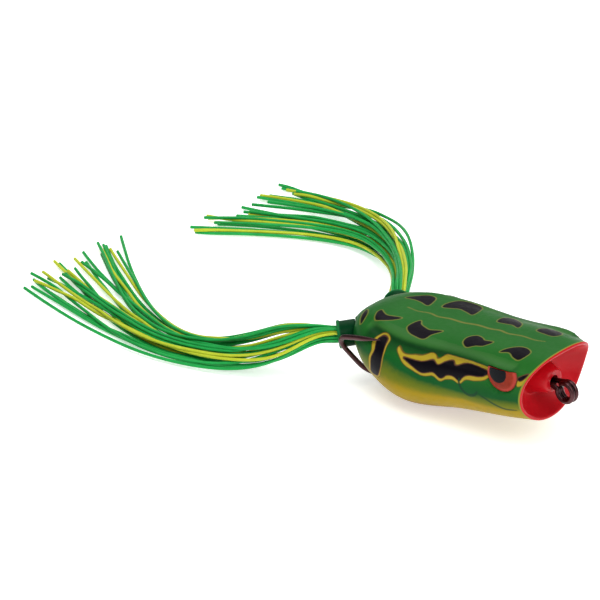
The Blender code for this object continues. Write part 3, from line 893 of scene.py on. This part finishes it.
def add_eyes():
    material = eye_material()
    for side in SIDES:
        place, look = mirrored(EYE_PLACE, side), mirrored(EYE_FACING, side).normalized()
        profile = [(-0.6, DOME_RADIUS - 0.05), (-0.05, DOME_RADIUS)]
        for share in np.cos(np.linspace(0.06, math.pi / 2 - 0.02, 26)):
            profile.append((DOME_HEIGHT * math.sqrt(1 - share**2), DOME_RADIUS * share))
        dome = turned(profile, place, look, 96)
        everything = dome.verts[:] + dome.edges[:] + dome.faces[:]
        plane = {"plane_co": (EYE_PLACE.x, 0, BROW_Z), "plane_no": (-BROW_SLOPE, 0, 1)}
        bmesh.ops.bisect_plane(dome, geom=everything, clear_outer=True, **plane)
        bmesh.ops.holes_fill(dome, edges=[edge for edge in dome.edges if edge.is_boundary])
        eye = add_object(f"eye_dome_{side}", dome, [material])
        points = points_of(eye) - np.array(place)
        store(eye, "radius", np.linalg.norm(np.cross(points, look), axis=1))
        pupil = points - np.array(PUPIL_PLACE)
        store(eye, "pupil", np.linalg.norm(np.cross(pupil, look), axis=1))
        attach(eye, "body")
        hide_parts(f"eye_{side}")


EYE_CENTRE = Vector((38.5, 0.0, 13.95))
RING_RADIUS, RING_SPREAD = 2.15, 0.65
RING_CROSSING = (0.455, 0.545)
RING_START, RING_END = 115.0, -545.0
HOOK_SIDE = (
    (-9.5, 1.9, 3.5),
    (-13.4, 4.2, 2.0),
    (-15.3, 7.0, 3.6),
    (-16.1, 10.4, 7.4),
    (-16.5, 13.6, 11.4),
    (-15.6, 14.8, 13.8),
    (-12.6, 15.0, 15.0),
    (-8.6, 15.0, 16.0),
    (-4.4, 14.6, 17.0),
)
POINT_TAPER = 5.0
HOOK_ROLL = math.radians(-3.0)
BARB_FROM_POINT, BARB_REACH, BARB_LIFT = 4.0, 1.5, 0.45
BARB_RADII = (0.34, 0.24, 0.04)


def hook_route():
    """Points along the wire, from the left point to the right one, with the line-tie eye in the middle."""
    spread = Vector((0, SHANK_SPREAD, 0))
    shank = [SHANK_TAIL.lerp(SHANK_NOSE, share) for share in (0.0, 0.25, 0.5, 0.75, 0.95)]
    eye = []
    for turn in np.linspace(0, 1, 120):
        angle = math.radians(RING_START + (RING_END - RING_START) * turn)
        out = Vector((math.cos(angle), 0, math.sin(angle))) * RING_RADIUS
        crossed = np.interp(turn, RING_CROSSING, (0, 1))
        eye.append(EYE_CENTRE + out + Vector((0, RING_SPREAD * math.cos(math.pi * crossed), 0)))
    bend = smooth_route(list(HOOK_SIDE[::-1]) + [tuple(p + spread) for p in shank[:2]], 160)
    left = [Vector(p) for p in bend] + [p + spread for p in shank[2:]]
    right = [mirrored(p, "right") for p in reversed(left)]
    roll = Matrix.Rotation(HOOK_ROLL, 3, SHANK_AXIS)
    return [SHANK_NOSE + roll @ (p - SHANK_NOSE) for p in left + eye + right]


def add_hook():
    material = plated_material()
    route = hook_route()
    steps = np.concatenate(([0], np.cumsum([(b - a).length for a, b in zip(route, route[1:])])))
    to_point = np.minimum(steps, steps[-1] - steps)
    radii = np.maximum(WIRE_RADIUS * np.minimum(to_point / POINT_TAPER, 1) ** 0.7, 0.05)
    hook = add_object("plated_double_hook", tube(route, radii, 18), [material], 60)
    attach(hook, "hook")
    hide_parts("double_hook")
    for side, order in (("left", route), ("right", route[::-1])):
        number = int(np.searchsorted(steps, BARB_FROM_POINT))
        root = order[number]
        back = (order[number + 6] - root).normalized()
        inward = (Vector((root.x, 0, root.z)) - root).normalized()
        tip = root + back * BARB_REACH + inward * (WIRE_RADIUS + BARB_LIFT)
        spur = tube([root, root.lerp(tip, 0.6), tip], BARB_RADII, 10)
        barb = add_object(f"barb_{side}", spur, [material])
        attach(barb, "hook")


def add_collars():
    material = collar_material()
    flutes = plain_material("strand_root", (20, 120, 52), (44, 168, 84), 0.38, bump=0.03)
    end = GAP + SLEEVE_LENGTH
    for side in SIDES:
        seat, facing = mirrored(SEAT, side), mirrored(COLLAR_FACING, side).normalized()
        outside = (
            (-STEM_REACH, STEM_RADIUS),
            (GAP * 0.4, STEM_RADIUS),
            (GAP * 0.4, SLEEVE_RADIUS - 0.15),
            (GAP * 0.4 + 0.15, SLEEVE_RADIUS),
            (end - RIM_LENGTH - 0.1, SLEEVE_RADIUS),
            (end - RIM_LENGTH + 0.1, RIM_RADIUS - 0.03),
            (end - RIM_LENGTH / 2, RIM_RADIUS),
            (end - 0.12, RIM_RADIUS - 0.04),
            (end, RIM_RADIUS - 0.2),
        )
        bore = (
            (end, SLEEVE_BORE + 0.15),
            (end - 0.15, SLEEVE_BORE),
            (1.5, SLEEVE_BORE),
            (0.8, STEM_BORE),
            (-STEM_REACH, STEM_BORE),
        )
        sleeve = turned(outside, seat, facing, 96, bore)
        collar = add_object(f"collar_sleeve_{side}", sleeve, [material], 50)
        store(collar, "along", (points_of(collar) - np.array(seat)) @ np.array(facing))
        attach(collar, "body")
        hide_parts(f"leg_collar_{side}")
        profile = (
            (-STEM_REACH, ROOT_RADIUS),
            (1.5, ROOT_RADIUS),
            (2.6, ROOT_MOUTH_RADIUS),
            (end - 1.6, ROOT_MOUTH_RADIUS),
        )
        root = turned(profile, seat, facing, 192)
        place = np.array(seat)
        for vert in root.verts:
            out = np.array(vert.co) - place
            across = out - np.array(facing) * (out @ np.array(facing))
            angle = math.atan2(across[2], across @ np.cross(facing, (0, 0, 1)))
            vert.co -= Vector(across * FLUTE_SHARE * (1 + math.cos(ROOT_FLUTES * angle)) / 2)
        bundle = add_object(f"strand_bundle_{side}", root, [flutes], 60)
        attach(bundle, "body")
        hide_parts(f"strand_root_{side}")


# Legs: the bundle's outer and inner edges, from just outside the collar to the tips

LEG_EDGES = {
    "right": (
        (
            (-21.4, -11.3, 10.5),
            (-23.6, -14.7, 9.9),
            (-29.6, -19.2, 6.2),
            (-38.5, -22.9, 2.7),
            (-49.5, -26.6, 1.4),
            (-63.0, -28.9, 1.1),
            (-79.0, -28.2, 1.1),
            (-95.0, -26.2, 1.1),
            (-108.5, -24.5, 1.1),
        ),
        (
            (-22.0, -11.2, 13.4),
            (-25.0, -11.8, 15.0),
            (-32.0, -13.8, 12.8),
            (-41.0, -16.2, 7.8),
            (-51.0, -18.2, 3.7),
            (-62.0, -18.2, 1.9),
            (-76.0, -13.0, 1.2),
            (-91.0, -3.6, 1.1),
            (-104.5, 6.4, 1.1),
        ),
    ),
    "left": (
        (
            (-20.9, 12.3, 13.0),
            (-22.6, 16.0, 13.4),
            (-27.6, 23.2, 12.4),
            (-35.2, 31.4, 11.4),
            (-44.4, 39.6, 9.8),
            (-55.4, 47.2, 7.4),
            (-68.0, 52.6, 5.0),
            (-80.0, 54.6, 3.0),
            (-93.0, 55.2, 1.1),
        ),
        (
            (-22.3, 10.4, 10.9),
            (-25.6, 14.0, 11.0),
            (-32.0, 22.0, 8.8),
            (-40.0, 30.4, 5.8),
            (-49.0, 37.0, 3.2),
            (-60.0, 40.6, 1.8),
            (-72.0, 38.0, 1.2),
            (-84.0, 31.2, 1.1),
            (-95.0, 23.0, 1.1),
        ),
    ),
}
LOCKS, STRANDS_TO_A_LOCK = 7, 4
STRANDS = LOCKS * STRANDS_TO_A_LOCK
STRAND_RADIUS, STRAND_POINTS = 0.38, 96
STRAND_START_INSIDE, START_REACH, MIDDLE_REACH = 2.0, 1.95, 2.0
STRAND_COLOURS = {
    "strand_green": ((14, 130, 52), (36, 172, 82)),
    "strand_yellow": ((164, 178, 32), (196, 208, 60)),
}

# Settling: points handled together, room between strands, share and limit of one push, smoothing
SETTLE_ROUNDS = 30
SETTLE_BLOCK, SETTLE_ROOM = 8, 1.04
PUSH_SHARE, PUSH_LIMIT, PUSH_SMOOTHINGS = 0.4, 0.5, 10
STRAND_STIFFNESS, ABOVE_GROUND = 0.4, 0.05


def spread_strands(side, chance):
    """First lie of one leg's strands: an array of strands, points along each, and x y z."""
    outer, inner = (smooth_route(edge, STRAND_POINTS) for edge in LEG_EDGES[side])
    middle = (outer + inner) / 2
    width = inner - outer
    lift = np.cross(np.gradient(middle, axis=0), -width)
    lift *= np.sign(lift[-1, 2]) / np.linalg.norm(lift, axis=1, keepdims=True)
    facing = np.array(mirrored(COLLAR_FACING, side).normalized())
    mouth = np.array(mirrored(SEAT, side)) + facing * (GAP + SLEEVE_LENGTH - STRAND_START_INSIDE)
    share = np.linspace(0, 1, STRAND_POINTS)
    open_up = smooth_step(share, 0.0, 0.3)
    strands = []
    across_mouth = np.cross(facing, (0, 0, 1))
    across_mouth *= np.sign(across_mouth @ width[0]) / np.linalg.norm(across_mouth)
    up_mouth = np.cross(across_mouth, facing)
    up_mouth *= np.sign(up_mouth[2])
    turns = math.pi * (3 - math.sqrt(5))
    seats = [(math.sqrt((k + 0.5) / STRANDS), k * turns) for k in range(STRANDS)]
    seats = sorted((r * math.cos(a), r * math.sin(a)) for r, a in seats)
    for number, (beside, above) in enumerate(seats):
        rank = (number + 0.5) / STRANDS + chance.uniform(-0.12, 0.12) * smooth_step(share, 0.1, 0.6)
        sway = chance.uniform(-0.22, 0.22)
        waves, phase = chance.uniform(3.0, 8.0), chance.uniform(0, 6)
        drift = sway * np.sin(share * waves + phase)
        gathered, fanned = 0.5 + beside * 0.42, rank + drift * np.sin(math.pi * share * 0.9)
        at = gathered * (1 - open_up) + fanned * open_up
        layer = above * np.interp(share, (0, 0.15, 0.6, 0.85, 1), (1.9, 2.3, 2.0, 1.0, 0.5))
        fan = outer + width * at[:, None] + lift * layer[:, None]
        lean = across_mouth * beside + up_mouth * above
        start = mouth + lean * START_REACH
        bundle = middle + lean * MIDDLE_REACH
        fan = fan * open_up[:, None] + bundle * (1 - open_up)[:, None]
        strands.append(np.vstack((start, start + facing * 2.2, fan[2:])))
    return np.array(strands)


def even_out(route, length):
    """The same route with its points evenly apart, cut or carried on to that length."""
    steps = np.concatenate(([0], np.cumsum(np.linalg.norm(np.diff(route, axis=0), axis=1))))
    at = np.linspace(0, length, STRAND_POINTS)
    made = np.stack([np.interp(at, steps, route[:, k]) for k in range(3)], -1)
    beyond = np.maximum(at - steps[-1], 0)[:, None]
    ahead = route[-1] - route[-4]
    return made + ahead / np.linalg.norm(ahead) * beyond


def settle(strands, lengths, radii):
    """Pushes strands off each other and off the ground, keeping each one's length."""
    count, along = strands.shape[:2]
    reach = radii[None, :].repeat(count, 0).reshape(-1)
    owner = np.repeat(np.arange(count), along)
    number = np.tile(np.arange(along), count)
    ground = radii + ABOVE_GROUND
    for _ in range(SETTLE_ROUNDS):
        flat = strands.reshape(-1, 3)
        push = np.zeros_like(flat)
        for first in range(0, along, SETTLE_BLOCK):
            from_middle = np.abs(number - first - (SETTLE_BLOCK - 1) / 2)
            window = np.flatnonzero(from_middle <= SETTLE_BLOCK)
            near = flat[window]
            apart = near[:, None] - near[None]
            distance = np.linalg.norm(apart, axis=2) + 1e-6
            wanted = (reach[window][:, None] + reach[window][None]) * SETTLE_ROOM
            other = owner[window][:, None] != owner[window][None]
            short = np.maximum(wanted - distance, 0) * other
            core = (number[window] >= first) & (number[window] < first + SETTLE_BLOCK)
            move = (apart / distance[..., None] * short[..., None] * PUSH_SHARE).sum(1)
            push[window[core]] += move[core]
        size = np.linalg.norm(push, axis=1, keepdims=True)
        push *= np.minimum(1, PUSH_LIMIT / np.maximum(size, 1e-6))
        push = push.reshape(count, along, 3)
        for _ in range(PUSH_SMOOTHINGS):
            push[:, 1:-1] = (push[:, :-2] + push[:, 1:-1] * 2 + push[:, 2:]) / 4
        push[:, :3] = 0
        strands = strands + push
        smooth = (strands[:, :-2] + strands[:, 1:-1] * 2 + strands[:, 2:]) / 4
        strands[:, 4:-1] = strands[:, 4:-1] * (1 - STRAND_STIFFNESS) + smooth[:, 3:] * STRAND_STIFFNESS
        strands[:, :, 2] = np.maximum(strands[:, :, 2], ground)
        strands = np.array([even_out(route, length) for route, length in zip(strands, lengths)])
        strands[:, :, 2] = np.maximum(strands[:, :, 2], ground)
    return strands


def add_legs():
    chance = np.random.default_rng(SEED)
    colours = {}
    for name, (low, high) in STRAND_COLOURS.items():
        colours[name] = plain_material(name, low, high, 0.4, 260, 0.03, Specular_IOR_Level=0.15)
    radii = STRAND_RADIUS * np.interp(np.arange(STRAND_POINTS), (0, 3, 8), (0.7, 0.75, 1.0))
    for side in SIDES:
        first = spread_strands(side, chance)
        lengths = np.linalg.norm(np.diff(first, axis=1), axis=2).sum(1) + chance.uniform(-6.0, 3.0, STRANDS)
        strands = settle(np.array([even_out(r, n) for r, n in zip(first, lengths)]), lengths, radii)
        for number, route in enumerate(strands):
            lock = number // STRANDS_TO_A_LOCK + 1
            colour = "strand_yellow" if number % 4 == 2 else "strand_green"
            cord = tube(route, radii, 10)
            strand = add_object(f"strand_{side}_{number + 1}", cord, [colours[colour]], 60)
            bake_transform(strand)
            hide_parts(f"strand_lock_{side}_{lock}")


def dress_cad_nodes():
    """The keel weight and the rubber ties keep the part's meshes and take procedural materials."""
    lead = plain_material("lead", (92, 92, 98), (140, 140, 146), 0.5, 300, 0.05, Metallic=0.9)
    rubber = plain_material("tie", (16, 16, 18), (34, 34, 36), 0.55, 300, 0.03)
    dressed = {"keel_weight": lead, "strand_tie_left": rubber, "strand_tie_right": rubber}
    for node, material in dressed.items():
        frame["nodes"][node].data.materials.clear()
        frame["nodes"][node].data.materials.append(material)


# Studio

CAMERA_AZIMUTH, CAMERA_ELEVATION = math.radians(40.461), math.radians(28.267)
CAMERA_DISTANCE, CAMERA_LENS = 1667.0, 442.6
CAMERA_AIM = Vector((6.0, 0.0, 11.0))
CAMERA_SHIFT = (-35.33, 13.2)
LIGHTS = (  # direction from the object, distance and size in metres, power in watts
    ((-0.1, -0.2, 1.0), 1.2, 0.9, 10.0),
    ((0.95, -0.2, 0.8), 1.0, 0.7, 5.0),
    ((-0.5, 0.9, 1.0), 1.2, 1.0, 4.0),
)
FLOOR_REACH, FLOOR_TOP, FLOOR_GLOW = 3000, -0.02, 0.5
WORLD_STRENGTH = 0.28


def add_camera():
    a, e = CAMERA_AZIMUTH, CAMERA_ELEVATION
    right = Vector((math.cos(a), math.sin(a), 0))
    level = Vector((-math.sin(a), math.cos(a), 0))
    ahead = level * math.cos(e) - Vector((0, 0, math.sin(e)))
    up = level * math.sin(e) + Vector((0, 0, math.cos(e)))
    place = CAMERA_AIM - ahead * CAMERA_DISTANCE
    target = CAMERA_AIM + right * CAMERA_SHIFT[0] + up * CAMERA_SHIFT[1]
    look = (target - place).normalized()
    right = (right - look * right.dot(look)).normalized()
    turn = Matrix((right, right.cross(look), -look)).transposed().to_4x4()
    camera = bpy.data.objects.new("camera", bpy.data.cameras.new("camera"))
    camera.data.lens = CAMERA_LENS
    camera.matrix_world = Matrix.Translation(place * MM) @ turn
    bpy.context.scene.collection.objects.link(camera)
    bpy.context.scene.camera = camera


def add_studio():
    floor = Shader("studio_floor", 0.9)
    floor.colour(floor.mix(floor.noise(6, 2), (0.93, 0.93, 0.93), (0.96, 0.96, 0.96)))
    floor.surface.inputs["Emission Color"].default_value = (1, 1, 1, 1)
    floor.surface.inputs["Emission Strength"].default_value = FLOOR_GLOW
    bm = box((-FLOOR_REACH, -FLOOR_REACH, -5), (FLOOR_REACH, FLOOR_REACH, FLOOR_TOP))
    add_object("studio_floor", bm, [floor.material])
    for number, (direction, distance, size, power) in enumerate(LIGHTS):
        data = bpy.data.lights.new(f"softbox_{number}", "AREA")
        data.size = size
        data.energy = power
        lamp = bpy.data.objects.new(f"softbox_{number}", data)
        direction = Vector(direction).normalized()
        lamp.location = direction * distance
        lamp.rotation_euler = direction.to_track_quat("Z", "Y").to_euler()
        bpy.context.scene.collection.objects.link(lamp)
    world = bpy.data.worlds.new("studio")
    world.use_nodes = True
    world.node_tree.nodes["Background"].inputs["Color"].default_value = (1, 1, 1, 1)
    world.node_tree.nodes["Background"].inputs["Strength"].default_value = WORLD_STRENGTH
    bpy.context.scene.world = world
    bpy.context.scene.view_settings.view_transform = "Standard"


add_skin()
add_eyes()
add_hook()
add_collars()
add_legs()
dress_cad_nodes()
add_studio()
add_camera()
